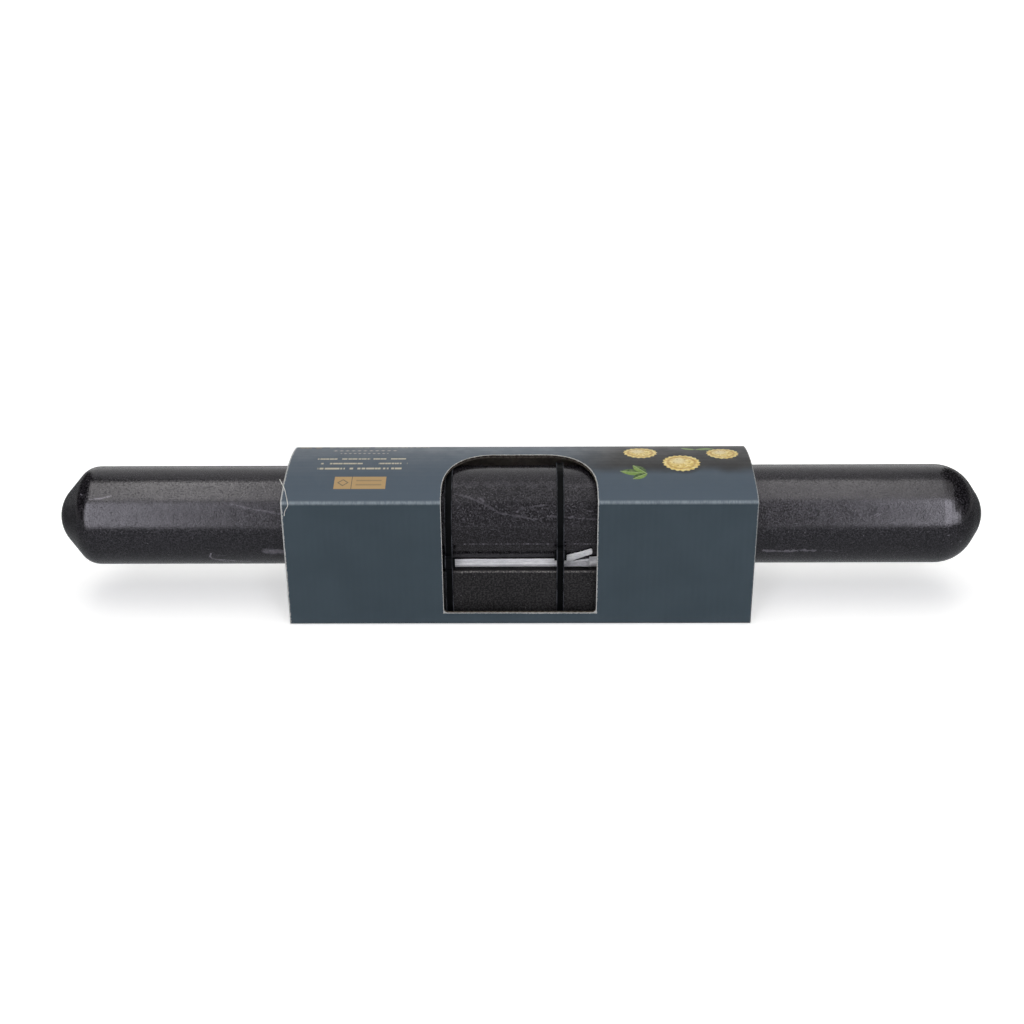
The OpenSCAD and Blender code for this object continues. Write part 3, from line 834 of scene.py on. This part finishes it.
def reflection(name, corners, material):
    """A card that only shows in gloss, as studios use to shape the light on a polished bar."""
    mesh = bpy.data.meshes.new(name)
    mesh.from_pydata(corners, [], [(0, 1, 2, 3)])
    card = link(name, mesh, material)
    for way in ("camera", "diffuse", "shadow"):
        setattr(card, "visible_" + way, False)


def plain_card(name, corners, level, top=None):
    """A card of one level, or one that dims to its top level a little way up."""
    material = studio_material(name)
    tree = material.node_tree
    if top is not None:
        height = wire(tree, "SeparateXYZ", wire(tree, "TexCoord").outputs["Object"]).outputs[2]
        level = fade(tree, height, 0.05, 0.45, level, top)
    wire(tree, "OutputMaterial", wire(tree, "Emission", WHITE, level).outputs[0])
    reflection(name, corners, material)


def side_cards(side, end):
    """A dim screen beyond the end of the pin, and a card over the floor that dims towards the rear."""
    x, front, rear = SCREENS[side]
    corners = [(x, front, 0.01), (x, rear, 0.01), (x, rear, SCREEN_TOP), (x, front, SCREEN_TOP)]
    plain_card(end + "_screen", corners, 0.5, 0.04)
    low = studio_material(end + "_low_card")
    tree = low.node_tree
    place = wire(tree, "SeparateXYZ", wire(tree, "TexCoord").outputs["Object"]).outputs
    away = wire(tree, "Math", place[0], operation="ABSOLUTE").outputs[0]
    fade_x = fade(tree, away, 0.22, 0.34, 1.0, 0.6)
    fade_y = fade(tree, place[1], -0.1, 0.06, 0.78, 0.28)
    level = wire(tree, "Math", fade_x, fade_y, operation="MULTIPLY").outputs[0]
    wire(tree, "OutputMaterial", wire(tree, "Emission", (0.94, 0.97, 1, 1), level).outputs[0])
    near, far = side * CARD_SPLIT, side * CARD_FAR
    front, rear = -0.6, 1.4
    corners = [(near, front, CARD_Z), (far, front, CARD_Z), (far, rear, CARD_Z), (near, rear, CARD_Z)]
    reflection(end + "_low_card", corners, low)


def studio_floor():
    """A pale floor that keeps the object's shadow near it and turns to white farther out."""
    half = 6.0
    corners = [(-half, -half, 0), (half, -half, 0), (half, half, 0), (-half, half, 0)]
    mesh = bpy.data.meshes.new("floor")
    mesh.from_pydata(corners, [], [(0, 1, 2, 3)])
    material = studio_material("studio_floor")
    tree = material.node_tree
    place = wire(tree, "TexCoord").outputs["Object"]
    away = wire(tree, "VectorMath", place, operation="LENGTH").outputs["Value"]
    total = None
    for near, names in ((0.55, ("Is Camera Ray",)), (0.35, ("Is Glossy Ray", "Is Transmission Ray"))):
        lift = fade(tree, away, 0.25, 1.0, near, 1.0)
        part = wire(tree, "Math", rays(tree, *names), lift, operation="MULTIPLY").outputs[0]
        total = part if total is None else wire(tree, "Math", total, part, operation="MAXIMUM").outputs[0]
    glow = wire(tree, "Emission", WHITE, total)
    paint = wire(tree, "BsdfDiffuse", (0.8, 0.8, 0.8, 1))
    both = wire(tree, "AddShader", paint.outputs[0], glow.outputs[0])
    wire(tree, "OutputMaterial", both.outputs[0])
    link("floor", mesh, material)


def white_world():
    """White for the rays that see it, and a dim ambient for the rest."""
    world = bpy.data.worlds.new("studio")
    bpy.context.scene.world = world
    world.use_nodes = True
    tree = world.node_tree
    ambient = tree.nodes["Background"]
    ambient.inputs["Color"].default_value = (0.9, 0.95, 1, 1)
    ambient.inputs["Strength"].default_value = 0.12
    white = wire(tree, "Background", WHITE)
    seen = rays(tree, "Is Camera Ray", "Is Glossy Ray", "Is Transmission Ray")
    mixed = wire(tree, "MixShader", seen, ambient.outputs[0], white.outputs[0])
    tree.links.new(mixed.outputs[0], tree.nodes["World Output"].inputs["Surface"])


def studio():
    """The lamps, the cards that the marble mirrors, the world and the floor."""
    bpy.context.scene.view_settings.view_transform = "Standard"
    for side, end in ((-1, "left"), (1, "right")):
        for row, lamps, elevation, span, tint in (
            ("front", FRONT_LAMPS[side], *FRONT_SPAN[side], FRONT_TINT),
            ("top", TOP_LAMPS[side], TOP_ELEVATION, TOP_SPAN, TOP_TINT),
        ):
            for i, (near, far, radiance) in enumerate(lamps):
                name = "%s_%s_%d" % (end, row, i)
                softbox(name, elevation, span, side * near, side * far, radiance, tint, i < len(lamps) - 1)
        side_cards(side, end)
    fill_half = TOP_FILL_HALF
    softbox("top_fill", TOP_ELEVATION, TOP_SPAN, -fill_half, fill_half, TOP_FILL, TOP_TINT, gloss=False)
    for name, (elevation, span, near, far, radiance) in RIGHT_WINGS.items():
        softbox(name, elevation, span, near, far, radiance, FRONT_TINT, False)
    half, (foot_y, foot_z), (top_y, top_z) = FRONT_SCREEN
    screen = [(-half, foot_y, foot_z), (half, foot_y, foot_z), (half, top_y, top_z), (-half, top_y, top_z)]
    plain_card("front_screen", screen, 0.55)
    half, front, rear = CARD_SPLIT, -1, -0.034
    low = [(-half, front, CARD_Z), (half, front, CARD_Z), (half, rear, CARD_Z), (-half, rear, CARD_Z)]
    plain_card("middle_low_card", low, 0.62)
    white_world()
    studio_floor()


camera()
studio()
dress_nodes()
foam()
frayed_strand()
